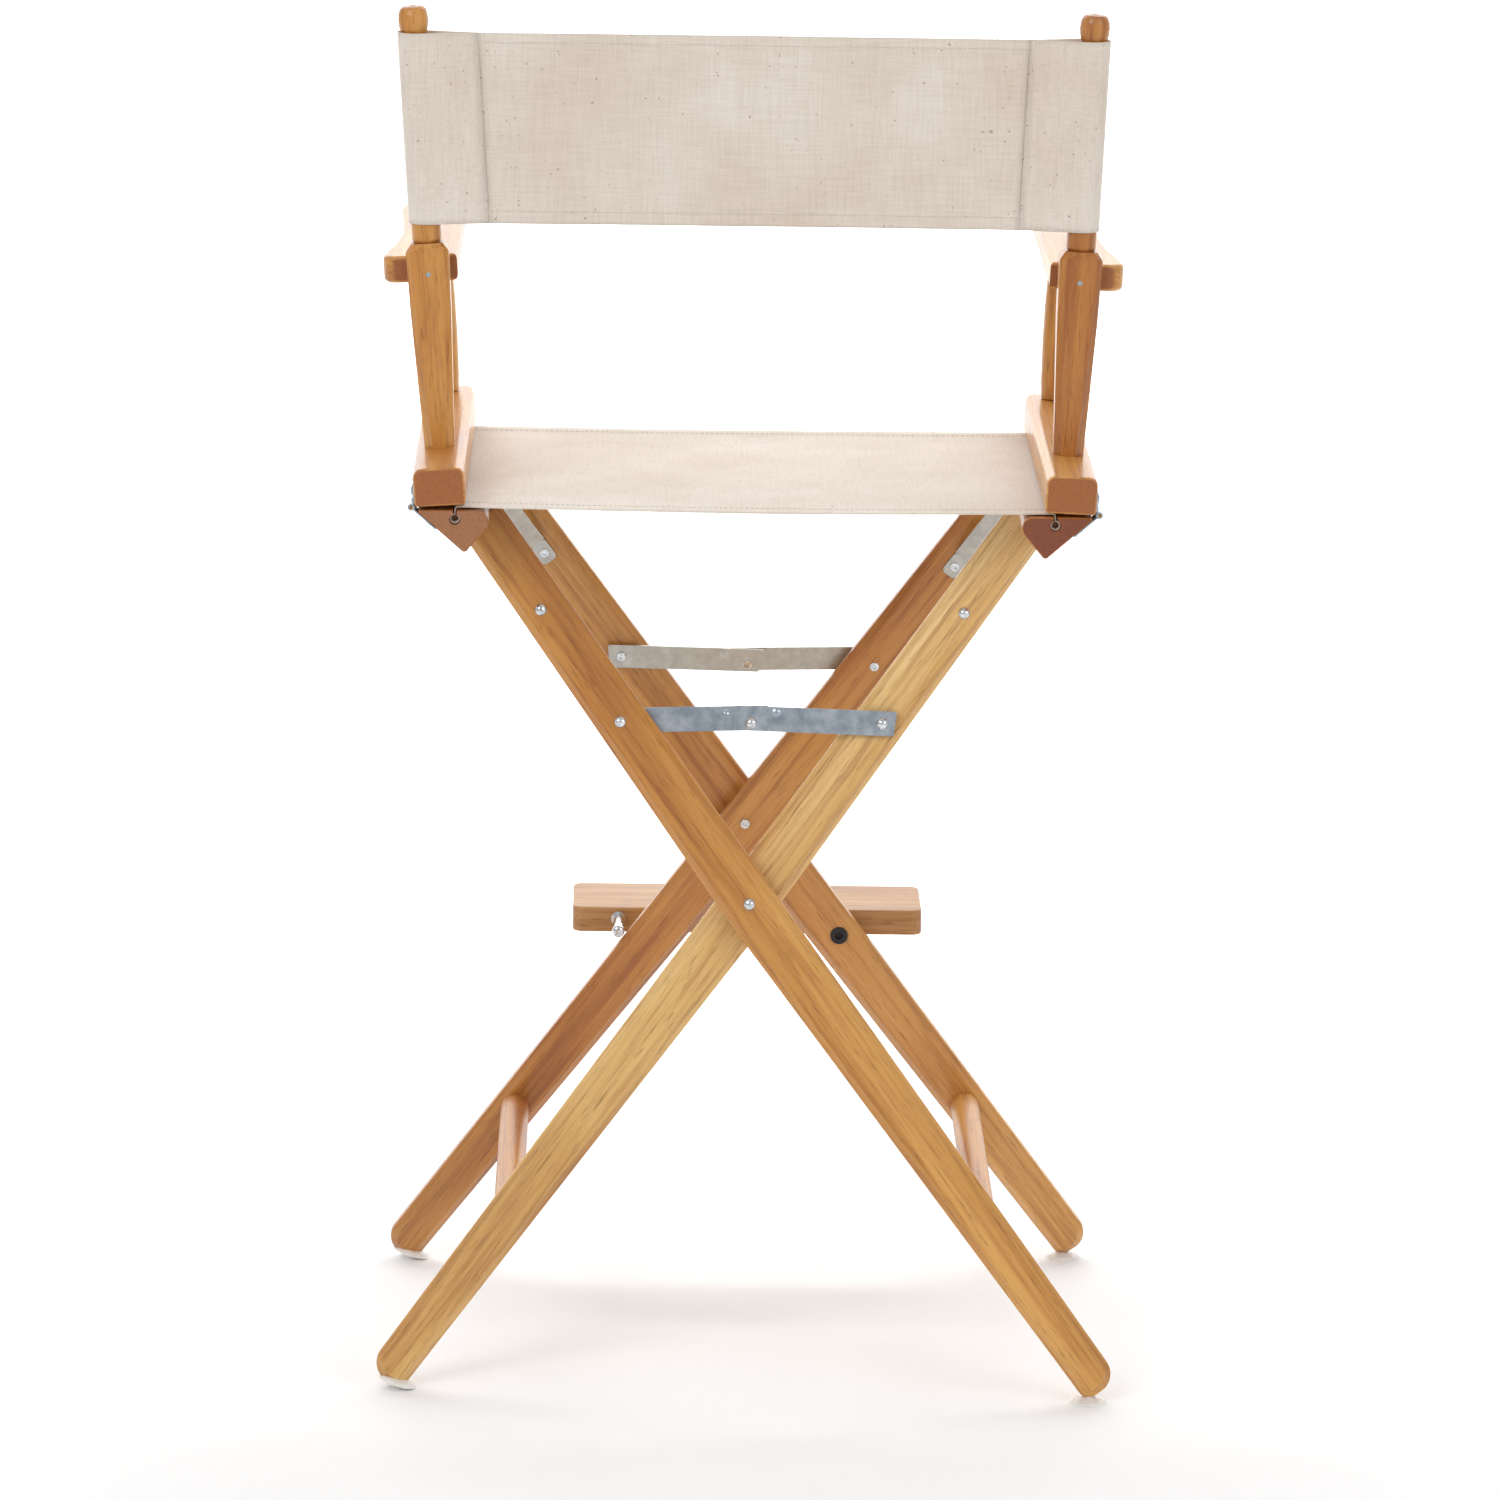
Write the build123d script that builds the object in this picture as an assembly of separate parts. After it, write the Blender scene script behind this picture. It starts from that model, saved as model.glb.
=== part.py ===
"""Folding tall director chair: two crossed leg frames under a canvas seat, hinged side frames, sling back.

Millimetres, +Z up.  The sitter faces -Y and the sitter's left is +X.  The floor is z = 0.
The outer frame has its top on the +X side, the inner frame has its top on the -X side, and the
two turn on each other about a line along Y.  Every solid is made at the open, standing pose.
"""
import os
from math import atan, cos, degrees, radians, sin, tan

from build123d import *

os.makedirs("parts", exist_ok=True)

CENTRE = (1.885, -27.435)        # middle of the whole chair in plan, moved to the origin on saving

# ---- crossed leg frames ----
CROSS_Z = 400.0            # height of the main pivot line
SPLAY = 8.16               # each X of legs leans towards the middle of the chair, degrees
LEG_ANGLE = 35.92  # leg against the upright, in the plane of its X, degrees
LEG_T = 18.0  # leg thickness
LEG_STEP = 23.62  # middle of the outer leg to middle of the inner leg
OUTER_Y = 166.85  # middle of the outer legs at the main pivot height
LEG_UP = 22.0              # pivot to the straight upper edge of a leg
LEG_MID = 22.0             # pivot to the lower edge at the widest point
LEG_TOP_LOW = 15.5         # the same at the top end
LEG_FOOT_LOW = 10.5        # the same at the foot
LEG_TOP = 430.0            # length above the pivot before the top is cut
LEG_FOOT = 490.0  # length below the pivot
LEG_CHAMFER = 5.8
FOOT_R_UP = 17.0
FOOT_R_LOW = 9.0

STRETCHER_S = -325.0       # stretcher dowel below the main pivot, along the leg
STRETCHER_R = 12.0

# ---- metal on the legs ----
SPREADER_S = 181.0  # spreader rivet above the main pivot, along the leg
BRACE_S = 292.0  # brace rivet above the main pivot, along the leg
RIVET_R = 3.0
RIVET_HEAD_R = 5.0
PIVOT_R = 4.0
RUN = 0.05                 # running clearance on a radius
BAR_W = 20.0
BAR_T = 1.5
BAR_GAP_OUT = 9.35  # outer face of the inner leg's bar, below the outer leg's middle
BAR_GAP_IN = 12.77  # outer face of the outer leg's bar, below the outer leg's middle
BRACE_W = 14.0
BRACE_T = 2.0

# ---- seat bearer blocks, rails and side frames ----
DEPTH = 195.0              # half length of a seat block
RAIL_HALF = 200.0          # half length of a rail
BLOCK_TOP = 725.5
BLOCK_X_IN = 203.0
BLOCK_X_LOW = 232.0
BLOCK_X_OUT = 272.0
BLOCK_Z_LOW = 690.5
KEY_X = 240.0
KEY_Z = 718.0
KEY_R = 4.5
KEY_SLOT = 3.0
HINGE_X = 275.0
HINGE_Z = 727.5
HINGE_R = 2.8
HINGE_LEN = 60.0
HINGE_Y = (165.0, -20.0)
LEAF_T = 1.2
RAIL_IN = 44.0  # hinge line to the rail's inner side
RAIL_OUT = 3.0  # hinge line to the rail's outer side
RAIL_LOW = 0.5  # hinge line to the rail's underside
RAIL_H = 30.5
LEAN = {1: 3.9, -1: 2.3}   # how far each side frame stands outward, degrees

REAR_POST_Y = 93.0
FRONT_POST_Y = -175.0
POST_SQ = 34.5
POST_FOOT = 24.0
REAR_POST_TOP = 198.0  # top of the square post above the hinge line
ARM_TOP = 184.5
ARM_T = 22.0
UPPER_R = 12.0
FINIAL_TOP = 388.5

# ---- canvas ----
CANVAS_T = 1.2
SEAT_REAR = 190.0
SEAT_FRONT = -190.0
SEAT_Z = 726.8
BACK_LOW = 942.0
BACK_TOP = 1096.0  # ---- footrest ----
BOARD_X = (-153.0, 145.0)
BOARD_Y = (-294.0, -199.0)
BOARD_Z = (289.5, 311.0)
BOLT_X = -82.0
BOLT_Z = 295.0
PIN_X = 106.0
PIN_Z = 302.0
PIN_R = 5.4
BOLT_R = 4.0

SA = sin(radians(LEG_ANGLE))
CA = cos(radians(LEG_ANGLE))
INNER_FACE = degrees(atan((BLOCK_TOP - BLOCK_Z_LOW) / (BLOCK_X_LOW - BLOCK_X_IN)))
OUTER_FACE = degrees(atan((BLOCK_TOP - BLOCK_Z_LOW) / (BLOCK_X_OUT - BLOCK_X_LOW)))


def save(shape, name):
    """Write one node: a single solid, or a group of separate solids."""
    group = shape if isinstance(shape, (list, tuple)) else [shape]
    move = Pos(-CENTRE[0], -CENTRE[1], 0)
    solids = [move * solid for item in group for solid in item.solids()]
    shape = Compound(children=solids) if len(solids) > 1 else solids[0]
    export_step(shape, f"parts/{name}.step")


def leg_point(top, s, w):
    """(x, h) of a point s along the leg and w towards its upper edge; top is the side its top is on."""
    return top * (s * SA - w * CA), s * CA + w * SA


def in_x(side, drop=0.0):
    """Frame of one X of legs: x across, y outward for the rear, z up the leaning plane."""
    return Pos(0, side * OUTER_Y, CROSS_Z) * Rot(side * SPLAY, 0, 0) * Pos(0, -side * drop, 0)


def plate(points, y0, y1):
    """Flat piece with an outline in x and z, between y0 and y1."""
    face = Plane.XZ * make_face(Polyline(*points, close=True))
    return Pos(0, max(y0, y1), 0) * extrude(face, amount=abs(y1 - y0))


def rod(x, z, r, y0, y1):
    """Round bar along y."""
    low, high = min(y0, y1), max(y0, y1)
    return Pos(x, (low + high) / 2, z) * Rot(90, 0, 0) * Cylinder(r, high - low)


def dome(x, z, r, y, way, height):
    """Low domed head standing on the face y and pointing along way (+1 or -1) in y."""
    ball_r = (r * r + height * height) / (2 * height)
    ball = Pos(x, y + way * (height - ball_r), z) * Sphere(ball_r)
    return (ball & rod(x, z, r + 1, y, y + way * (height + 1))).solid()


def eyelet(x, z, y, way):
    """Rolled hollow rivet end standing on the face y."""
    ring = rod(x, z, 4.0, y, y + way * 1.1)
    ring = fillet(ring.edges().filter_by(GeomType.CIRCLE).sort_by(Axis.Y)[1 if way > 0 else 0], 0.8)
    return ring - rod(x, z, 1.9, y + way * 0.1, y + way * 2)


def rivet(x, z, out, y_head, y_end):
    """Rivet with a domed head on the outer side (out = +1 or -1) and a hollow end on the inner side."""
    shank = rod(x, z, RIVET_R, y_head, y_end)
    return shank + dome(x, z, RIVET_HEAD_R, y_head, out, 3.0) + eyelet(x, z, y_end, -out)


# ---------------------------------------------------------------- blocks
def block_profile():
    corner_out = (BLOCK_X_OUT, BLOCK_TOP)
    corner_low = (BLOCK_X_LOW, BLOCK_Z_LOW)
    corner_in = (BLOCK_X_IN, BLOCK_TOP)
    return corner_in, corner_low, corner_out


def block(top):
    body = plate(block_profile(), -DEPTH, DEPTH)
    along = body.edges().filter_by(Axis.Y)
    body = fillet(along.sort_by(Axis.X)[0], 9.0)
    body = fillet(body.edges().filter_by(Axis.Y).sort_by(Axis.Z)[0], 3.0)
    body = fillet(body.edges().filter_by(Axis.Y).sort_by(Axis.X)[-1], 1.5)
    ends = body.faces().filter_by(Axis.Y).edges()
    body = chamfer(ends, 0.8)
    body -= rod(KEY_X, KEY_Z, KEY_R, -DEPTH - 1, DEPTH + 1)
    body -= Pos(KEY_X, 0, BLOCK_TOP) * Box(KEY_SLOT, 2 * DEPTH + 2, 2 * (BLOCK_TOP - KEY_Z))
    return body if top > 0 else body.mirror(Plane.YZ)


def beyond_inner_face(top):
    """Everything on the block's side of the plane the leg tops are cut to."""
    size = 300.0
    slab = Rot(0, INNER_FACE - 90, 0) * Pos(size / 2, 0, 0) * Box(size, 3 * DEPTH, 2 * size)
    slab = Pos(BLOCK_X_LOW, 0, BLOCK_Z_LOW) * slab
    return slab if top > 0 else slab.mirror(Plane.YZ)


# ---------------------------------------------------------------- legs
def leg(top, side):
    """One leg: straight upper edge, lower edge widest at the pivot, chamfered all round."""
    outline = [
        leg_point(top, LEG_TOP, LEG_UP),
        leg_point(top, LEG_TOP, -LEG_TOP_LOW),
        leg_point(top, 0, -LEG_MID),
        leg_point(top, -LEG_FOOT, -LEG_FOOT_LOW),
        leg_point(top, -LEG_FOOT, LEG_UP),
    ]
    body = plate(outline, -LEG_T / 2, LEG_T / 2)
    feet = body.edges().filter_by(Axis.Y).sort_by(Axis.Z)
    body = fillet(feet[0:1], FOOT_R_LOW)
    feet = body.edges().filter_by(Axis.Y).sort_by(Axis.Z)
    corner = leg_point(top, -LEG_FOOT, LEG_UP)
    near = sorted(feet, key=lambda e: (e.center().X - corner[0]) ** 2 + (e.center().Z - corner[1]) ** 2)
    body = fillet(near[0], FOOT_R_UP)
    rims = body.faces().filter_by(Axis.Y).edges()
    body = chamfer(rims, LEG_CHAMFER)
    drop = 0.0 if top > 0 else LEG_STEP
    for s, r in ((SPREADER_S, RIVET_R), (BRACE_S, RIVET_R)):
        x, h = leg_point(top, s, 0)
        body -= rod(x, h, r, -LEG_T, LEG_T)
    body = in_x(side, drop) * body
    body -= rod(0, CROSS_Z, PIVOT_R if top > 0 else PIVOT_R + RUN, -300, 300)
    body -= beyond_inner_face(top)
    body -= stretcher(top)
    body -= glide(top, side)
    body = max(body.solids(), key=lambda solid: solid.volume)
    if top > 0 and side < 0:
        body -= rod(BOLT_X, BOLT_Z, BOLT_R, -300, 0)
    return body


def stretcher(top):
    x, h = leg_point(top, STRETCHER_S, 2.5)
    z = CROSS_Z + h * cos(radians(SPLAY))
    mid = (OUTER_Y if top > 0 else OUTER_Y - LEG_STEP / cos(radians(SPLAY))) + (CROSS_Z - z) * tan(radians(SPLAY))
    return rod(x, z, STRETCHER_R, -(mid - 2.5), mid - 2.5)


# ---------------------------------------------------------------- rivets and pivots
def leg_rivets(top):
    """Brace and spreader rivets of one frame."""
    out = []
    drop = 0.0 if top > 0 else LEG_STEP
    for side in (1, -1):
        head = side * LEG_T / 2
        x, h = leg_point(top, BRACE_S, 0)
        out.append(in_x(side, drop) * rivet(x, h, side, head, -head - side * BRACE_T))
        x, h = leg_point(top, SPREADER_S, 0)
        if top > 0:
            face_in = -side * BAR_GAP_IN
            far = face_in - side * BAR_T
            one = rivet(x, h, side, head, far - side * 0.3)
            one += rod(x, h, 5.2, -head, face_in + side * 0.3)
        else:
            near = side * (LEG_STEP - BAR_GAP_OUT)
            one = rivet(x, h, side, near + side * 0.3, -head)
            one += rod(x, h, 5.2, head, near - side * (BAR_T + 0.3))
        out.append(in_x(side, drop) * one)
    return out


def pivot_rivet(side):
    """Main pivot: a shank along Y fixed in the outer leg and running in the inner leg."""
    y_out = side * (OUTER_Y + LEG_T / 2 / cos(radians(SPLAY)))
    y_in = side * (OUTER_Y - (LEG_STEP + LEG_T / 2) / cos(radians(SPLAY)) - 1.2)
    body = rod(0, CROSS_Z, PIVOT_R, y_out, y_in)
    body += in_x(side) * dome(0, 0, RIVET_HEAD_R, side * LEG_T / 2, side, 3.0)
    return body + eyelet(0, CROSS_Z, y_in, -side)


# ---------------------------------------------------------------- braces
def strip(p, q, across, width, thick):
    """Flat strip from p to q whose width runs along the direction across."""
    p, q, across = Vector(*p), Vector(*q), Vector(*across)
    run = q - p
    normal = run.cross(across).normalized()
    plane = Plane(origin=(p + q) * 0.5, x_dir=run.normalized(), z_dir=normal)
    return plane * Box(run.length, width, thick)


def brace(top, side):
    """Strap from the inner face of a leg up to the inner face of the block."""
    drop = 0.0 if top > 0 else LEG_STEP
    place = in_x(side, drop)
    y = -side * (LEG_T / 2 + BRACE_T / 2)

    def world(s, w, yy):
        x, h = leg_point(top, s, w)
        v = (place * Pos(x, yy, h)).position
        return v

    low = world(BRACE_S - 9, 0, y)
    knee = world(BRACE_S + 11, 0, y)
    across = world(BRACE_S, 1, y) - world(BRACE_S, 0, y)
    normal = Vector(top * -sin(radians(INNER_FACE)), 0, -cos(radians(INNER_FACE)))
    mid = Vector(top * (BLOCK_X_LOW + BLOCK_X_IN) / 2, 0, (BLOCK_Z_LOW + BLOCK_TOP) / 2)
    mid = mid + normal * (BRACE_T / 2) + Vector(top * 1.5, 0, -2.0)
    shoulder = Vector(mid.X, knee.Y - side * 62, mid.Z)
    end = Vector(mid.X, shoulder.Y - side * 20, mid.Z)
    face_across = Vector(top * -cos(radians(INNER_FACE)), 0, sin(radians(INNER_FACE)))
    body = strip(low, knee, across, BRACE_W, BRACE_T)
    body = chamfer(body.edges().filter_by(lambda e: abs(e.length - BRACE_T) < 0.01), 2.5)
    body += strip(knee - (shoulder - knee).normalized() * 0.5, shoulder, across, BRACE_W, BRACE_T)
    body += strip(shoulder, end, face_across, BRACE_W, BRACE_T)
    body -= place * rod(*leg_point(top, BRACE_S, 0), RIVET_R, -30, 30)
    body -= beyond_inner_face(top)
    return body


def brace_screw(top, side):
    drop = 0.0 if top > 0 else LEG_STEP
    x, h = leg_point(top, BRACE_S + 11, 0)
    y = (in_x(side, drop) * Pos(x, -side * (LEG_T / 2 + 1), h)).position.Y - side * 73
    normal = Vector(top * -sin(radians(INNER_FACE)), 0, -cos(radians(INNER_FACE)))
    mid = Vector(top * (BLOCK_X_LOW + BLOCK_X_IN) / 2, y, (BLOCK_Z_LOW + BLOCK_TOP) / 2)
    mid = mid + Vector(top * 1.5, 0, -2.0)
    plane = Plane(origin=mid, x_dir=(0, 1, 0), z_dir=normal)
    head = plane * Pos(0, 0, BRACE_T + 0.9) * Cylinder(3.6, 1.8)
    return head + plane * Pos(0, 0, -4) * Cylinder(2.0, 12 + 2 * BRACE_T - 2)


# ---------------------------------------------------------------- spreader bars
CENTRE_RISE = {1: 3.0, -1: -2.2}


def bar_layout(top, side):
    """Placing of one bar: a function from run and height to (x, h), its reach, and its two faces in y."""
    x1, h1 = leg_point(top, SPREADER_S, 0)
    tilt = atan(CENTRE_RISE[side] / abs(x1))

    def at(run, up):
        x = x1 - top * cos(tilt) * run + top * sin(tilt) * up
        return x, h1 + sin(tilt) * run + cos(tilt) * up

    y_out = -side * (BAR_GAP_IN if top > 0 else BAR_GAP_OUT)
    return at, abs(x1) / cos(tilt), y_out, y_out - side * BAR_T


def centre_rivet(top, side):
    """Half of a spreader's centre rivet, held in one bar: the head on the inner leg's bar, the hollow end on the other."""
    at, reach, y_out, y_in = bar_layout(top, side)
    x, h = at(reach, -4.0)
    if top > 0:
        half = rod(x, h, RIVET_R, y_out + side * 0.5, y_in) + eyelet(x, h, y_in, -side)
    else:
        half = rod(x, h, RIVET_R, y_out, y_in - side * 0.5) + dome(x, h, RIVET_HEAD_R, y_out, side, 3.0)
    return in_x(side) * half


def bar(top, side):
    """One half of a folding spreader."""
    at, reach, y_out, y_in = bar_layout(top, side)
    half = BAR_W / 2
    outline = [at(-11.5, half), at(reach + 15.0, half), at(reach + 9.5, -half), at(-9.5, -half)]
    body = plate(outline, y_out, y_in)
    body = fillet(body.edges().filter_by(Axis.Y), 2.0)
    body -= rod(*at(0, 0), RIVET_R + RUN, -40, 40)
    body -= rod(*at(reach, -4.0), RIVET_R, -40, 40)
    stop_x, stop_h = at(reach - 20.0, half - 4.5)
    if top > 0:
        body += dome(stop_x, stop_h, 3.4, y_in, -side, 0.9)
        body -= dome(stop_x, stop_h, 2.6, y_out, -side, 0.8)
    else:
        body += dome(stop_x, stop_h, 3.4, y_out, side, 0.9)
    return in_x(side) * body


# ---------------------------------------------------------------- glides
def glide(top, side):
    """Cup shaped plastic foot on a stem; the inner frame's glides have swivelled with the legs."""
    drop = 0.0 if top > 0 else LEG_STEP
    x, h = leg_point(top, -LEG_FOOT + 4.0, -5.0)
    v = (in_x(side, drop) * Pos(x, 0, h)).position
    tilt = 0.0 if top > 0 else 17.0
    disc = Pos(0, 0, 1.2) * Cone(16.0, 13.5, 2.4)
    disc += Pos(0, 0, 3.6) * Cone(13.5, 5.0, 2.4)
    disc += Pos(0, 0, 10.0) * Cylinder(4.2, 12.0)
    disc = Rot(0, top * tilt, 0) * disc
    lift = 16.0 * sin(radians(tilt))
    return Pos(v.X, v.Y, lift) * disc


# ---------------------------------------------------------------- side frames
def on_side(hand):
    """Frame of one side: x outward from the hinge line, z up, leaning outward with the side frame."""
    return lambda shape: (Pos(HINGE_X, 0, HINGE_Z) * Rot(0, LEAN[hand], 0) * shape) if hand > 0 else (
        (Pos(HINGE_X, 0, HINGE_Z) * Rot(0, LEAN[hand], 0) * shape).mirror(Plane.YZ))


POST_X = -22.4     # middle line of the posts


def rail():
    low = RAIL_LOW
    body = Pos(-(RAIL_IN + RAIL_OUT) / 2, 0, low + RAIL_H / 2) * Box(RAIL_IN - RAIL_OUT, 2 * RAIL_HALF, RAIL_H)
    long_edges = body.edges().filter_by(Axis.Y)
    body = fillet(long_edges.sort_by(Axis.Z)[2:4], 7.0)
    body = fillet(body.edges().filter_by(Axis.Y).sort_by(Axis.Z)[0:2], 3.0)
    rims = body.faces().filter_by(Axis.Y).edges()
    body = fillet(rims, 2.6)
    body -= Pos(POST_X, REAR_POST_Y, low + RAIL_H) * Cylinder(8.0, 30.0)
    body -= Pos(POST_X, FRONT_POST_Y, low + RAIL_H) * Cylinder(8.0, 30.0)
    for y in HINGE_Y:
        for dy in (-20.0, 20.0):
            body -= Pos(-RAIL_OUT, y + dy, low + 11.5) * Rot(0, 90, 0) * Cylinder(1.8, 20.0)
    return body


def lower_post():
    """Square post that tapers to an octagon at its foot, with a round tenon into the rail."""
    foot = RAIL_LOW + RAIL_H
    half = POST_SQ / 2
    small = POST_FOOT / 2

    def ring(z, r, c):
        pts = [(r, r - c), (r - c, r), (-r + c, r), (-r, r - c), (-r, -r + c), (-r + c, -r), (r - c, -r), (r, -r + c)]
        return Pos(0, 0, z) * make_face(Polyline(*pts, close=True))

    z0, z1, z2 = foot, foot + 110.0, REAR_POST_TOP
    body = loft([ring(z0, small, 7.0), ring(z1, half - 1.0, 4.0)])
    body += loft([ring(z1, half - 1.0, 4.0), ring(z2 - 6, half, 2.6)])
    body += loft([ring(z2 - 6, half, 2.6), ring(z2, half - 4.5, 2.6)])
    body += Pos(0, 0, foot - 7.4) * Cylinder(8.0, 14.8)
    body -= Pos(0, 0, REAR_POST_TOP - 7.5) * Cylinder(8.5, 17.0)
    body = Pos(POST_X, REAR_POST_Y, 0) * body
    body -= arm_screw_hole()
    return body


def turned(points):
    """Solid turned about the z axis from (radius, height) points joined by straight lines."""
    face = Plane.XZ * make_face(Polyline(*points, close=True))
    return revolve(face, Axis.Z, 360)


def upper_post():
    """Round back post with a barrel finial, seated in the lower post."""
    top = FINIAL_TOP
    seat = REAR_POST_TOP
    points = [
        (0, seat - 16), (8.5, seat - 16), (8.5, seat), (10.8, seat + 0.2), (UPPER_R, seat + 2.5),
        (UPPER_R, top - 28), (9.4, top - 25.5), (9.0, top - 23), (10.6, top - 20.5), (11.8, top - 16),
        (12.2, top - 11), (11.8, top - 6), (10.4, top - 2.2), (8.6, top - 0.4), (7.0, top),
        (3.2, top), (2.4, top - 1.0), (2.2, top - 6), (0, top - 6),
    ]
    return Pos(POST_X, REAR_POST_Y, 0) * turned(points)


def front_post():
    """Turned round post between the rail and the front of the arm."""
    foot = RAIL_LOW + RAIL_H
    under = ARM_TOP - ARM_T
    points = [
        (0, foot - 14), (8.0, foot - 14), (8.0, foot), (9.8, foot + 1), (10.8, foot + 14), (11.6, foot + 50),
        (11.4, foot + 80), (10.2, under - 14), (9.6, under), (7.0, under), (7.0, under + 11.5), (0, under + 11.5),
    ]
    return Pos(POST_X, FRONT_POST_Y, 0) * turned(points)


ARM_REAR = 76.0
ARM_FRONT = -230.0


def arm():
    """Arm board: straight inner edge, outer edge flared at both ends, butted against the rear post."""
    inner = POST_X - 22.6
    low = ARM_TOP - ARM_T
    rear_out = inner + 60.0
    line = Spline(
        (rear_out, ARM_REAR - 16), (inner + 53.0, 0.0), (inner + 47.5, -112.0), (inner + 49.5, -165.0),
        (inner + 52.0, ARM_FRONT + 22), tangents=[(-0.05, -1), (0, -1)],
    )
    pts = [
        Line((inner, ARM_REAR), (rear_out - 14, ARM_REAR)),
        ThreePointArc((rear_out - 14, ARM_REAR), (rear_out - 3.6, ARM_REAR - 5.0), (rear_out, ARM_REAR - 16)),
        line,
        ThreePointArc((inner + 52.0, ARM_FRONT + 22), (inner + 45.6, ARM_FRONT + 6.4), (inner + 30, ARM_FRONT)),
        Line((inner + 30, ARM_FRONT), (inner + 14, ARM_FRONT)),
        ThreePointArc((inner + 14, ARM_FRONT), (inner + 4.1, ARM_FRONT + 4.1), (inner, ARM_FRONT + 14)),
        Line((inner, ARM_FRONT + 14), (inner, ARM_REAR)),
    ]
    body = Pos(0, 0, low) * extrude(make_face(pts), amount=ARM_T)
    rims = body.faces().filter_by(Axis.Z).edges()
    body = fillet(rims, 4.0)
    body -= Pos(POST_X, FRONT_POST_Y, low + 5.5) * Cylinder(7.0, 12.0)
    return body - arm_screw_hole()


def arm_screw_hole():
    return Pos(POST_X, REAR_POST_Y, ARM_TOP - ARM_T / 2) * Rot(90, 0, 0) * Cylinder(2.0, 80.0)


def arm_screw():
    """Long screw through the rear post into the end of the arm."""
    y_head = REAR_POST_Y + POST_SQ / 2
    z = ARM_TOP - ARM_T / 2
    return rod(POST_X, z, 2.0, y_head, y_head - 55.0)


# ---------------------------------------------------------------- hinges
def knuckle(y0, y1):
    return rod(0, 0, HINGE_R, y0, y1) - rod(0, 0, 1.5, y0 - 1, y1 + 1)


def rail_leaf(y):
    third = HINGE_LEN / 3
    body = knuckle(y - third / 2 + 0.3, y + third / 2 - 0.3)
    x = -RAIL_OUT + LEAF_T / 2
    leaf = Pos(x, y, 10.6) * Box(LEAF_T, HINGE_LEN, 16.0)
    leaf = fillet(leaf.edges().filter_by(Axis.X).sort_by(Axis.Z)[2:4], 2.0)
    web = Pos(-1.6, y, 2.7) * Box(2.8, third - 0.6, 1.6)
    body += leaf + web
    for screw in rail_screws(y):
        body -= screw
    return body - rod(0, 0, 1.5, y - 40, y + 40)


def rail_screws(y):
    out = []
    for dy in (-20.0, 20.0):
        face = -RAIL_OUT + LEAF_T
        head = Pos(face + 0.7, y + dy, RAIL_LOW + 11.5) * Rot(0, 90, 0) * Cone(3.9, 2.6, 1.6)
        shank = Pos(face - 5.5, y + dy, RAIL_LOW + 11.5) * Rot(0, 90, 0) * Cylinder(1.8, 11.0)
        slot = Pos(face + 1.5, y + dy, RAIL_LOW + 11.5) * Box(1.4, 10, 0.9)
        out.append(head + shank - slot)
    return out


def block_leaf_frame():
    """Frame on the block's outer face: x along the face downwards, z out of the face."""
    a = radians(OUTER_FACE)
    return Plane(origin=(BLOCK_X_OUT, 0, BLOCK_TOP), x_dir=(-cos(a), 0, -sin(a)), z_dir=(sin(a), 0, -cos(a)))


def block_leaf(y):
    third = HINGE_LEN / 3
    place = block_leaf_frame()
    leaf = place * (Pos(13.5, y, LEAF_T / 2) * Box(19.0, HINGE_LEN, LEAF_T))
    body = leaf
    for y0, y1 in ((y - HINGE_LEN / 2, y - third / 2 - 0.3), (y + third / 2 + 0.3, y + HINGE_LEN / 2)):
        body += Pos(HINGE_X, 0, HINGE_Z) * rod(0, 0, HINGE_R, y0, y1)
        mid = (y0 + y1) / 2
        body += place * (Pos(2.0, mid, LEAF_T / 2) * Box(8.0, y1 - y0, LEAF_T))
    body -= rod(HINGE_X, HINGE_Z, 1.5, y - 40, y + 40)
    for screw in block_screws(y):
        body -= screw
    return body


def block_screws(y):
    place = block_leaf_frame()
    out = []
    for dy in (-20.0, 20.0):
        head = Pos(16.0, y + dy, LEAF_T + 0.7) * Cone(3.9, 2.6, 1.6)
        shank = Pos(16.0, y + dy, LEAF_T - 5.5) * Cylinder(1.8, 11.0)
        slot = Pos(16.0, y + dy, LEAF_T + 1.5) * Box(0.9, 10, 1.4)
        out.append(place * (head + shank - slot))
    return out


def block_screw_holes():
    place = block_leaf_frame()
    out = []
    for y in HINGE_Y:
        for dy in (-20.0, 20.0):
            out.append(place * (Pos(16.0, y + dy, -4.0) * Cylinder(1.8, 12.0)))
    return out


def hinge_pin(y):
    """Pin fixed in the block's knuckles; the rail's knuckle runs on it."""
    return rod(HINGE_X, HINGE_Z, 1.5 - RUN, y - HINGE_LEN / 2 - 0.8, y + HINGE_LEN / 2 + 0.8)


# ---------------------------------------------------------------- canvas
def seat_canvas():
    half = CANVAS_T / 2
    reach = KEY_X + half
    panel = Box(2 * reach, SEAT_REAR - SEAT_FRONT, CANVAS_T)
    y = (SEAT_REAR + SEAT_FRONT) / 2
    body = Pos(0, y, SEAT_Z) * panel
    for hand in (1, -1):
        tail = Pos(hand * KEY_X, y, (SEAT_Z + KEY_Z + 3.2) / 2)
        body += tail * Box(CANVAS_T, SEAT_REAR - SEAT_FRONT, SEAT_Z - KEY_Z - 3.2 + CANVAS_T)
        loop = rod(hand * KEY_X, KEY_Z, 4.2, SEAT_FRONT, SEAT_REAR)
        body += loop
    for hand in (1, -1):
        body -= rod(hand * KEY_X, KEY_Z, 3.0, SEAT_FRONT - 1, SEAT_REAR + 1)
    return body


def seat_rod(hand):
    return rod(hand * KEY_X, KEY_Z, 2.9, SEAT_FRONT + 8, SEAT_REAR - 8)


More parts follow.
